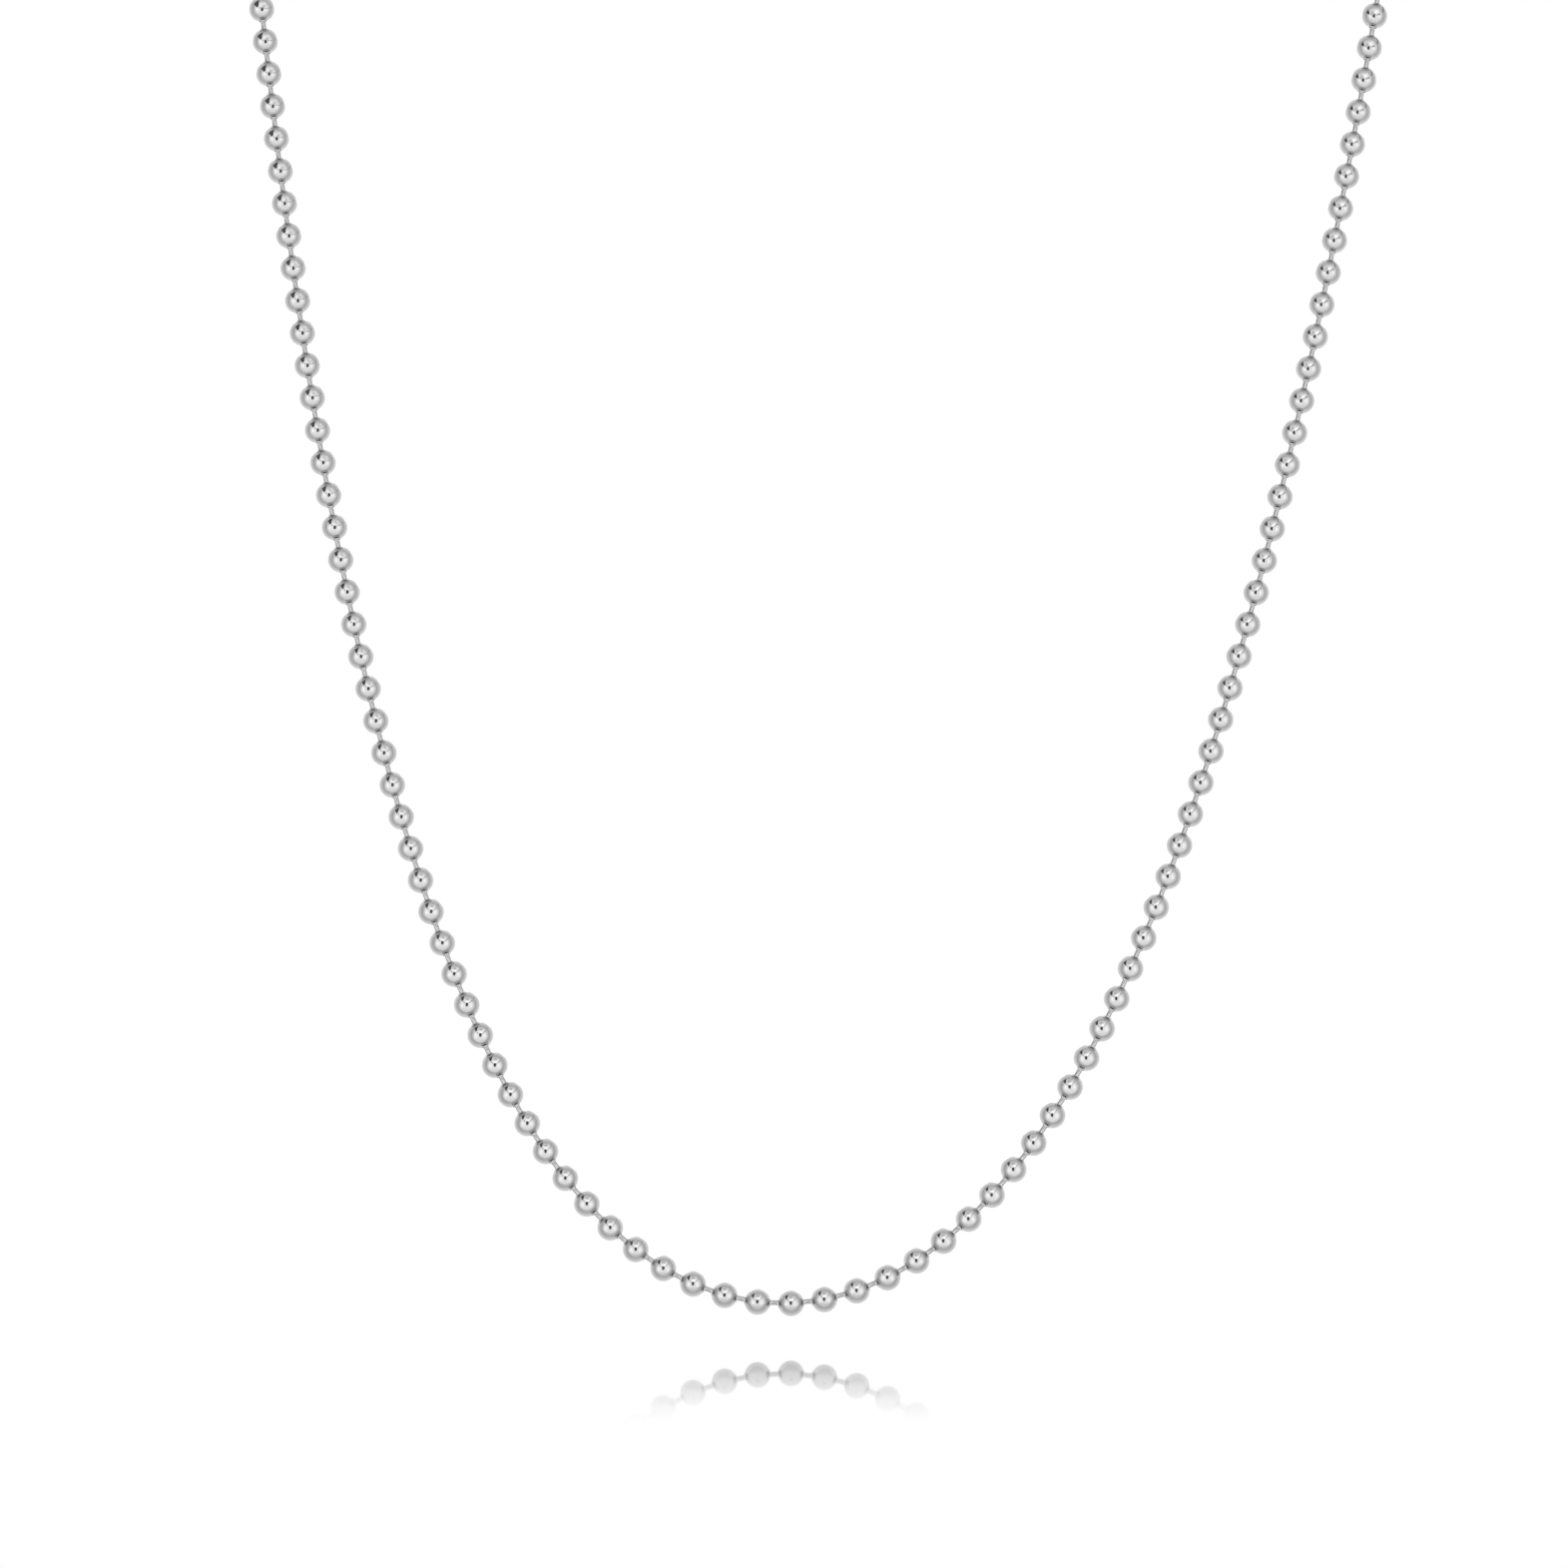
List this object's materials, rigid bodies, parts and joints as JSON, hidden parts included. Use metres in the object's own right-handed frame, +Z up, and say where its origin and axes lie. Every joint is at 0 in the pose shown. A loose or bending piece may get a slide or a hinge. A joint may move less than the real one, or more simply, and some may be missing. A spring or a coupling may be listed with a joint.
{
  "type": "ball chain necklace",
  "caption": "Polished steel ball chain necklace: hollow round beads joined by short pins in a closed loop, with a slotted sleeve clasp at the nape.",
  "frame": {"origin": "middle of the neck hollow, level with the nape, where the chain hangs on a neck", "axes": "+Z up, -Y to the front, where the chain hangs down the chest, +X to the wearer's left"},
  "size_m": [0.1366, 0.0942, 0.1899],
  "materials": {
    "bead_steel": "mirror polished steel",
    "link_steel": "bright drawn steel",
    "clasp_steel": "mirror polished steel"
  },
  "bodies": {
    "root": {"beads": "bead_steel", "links": "link_steel", "back_wire": "link_steel", "clasp": "clasp_steel"}
  },
  "joints": []
}
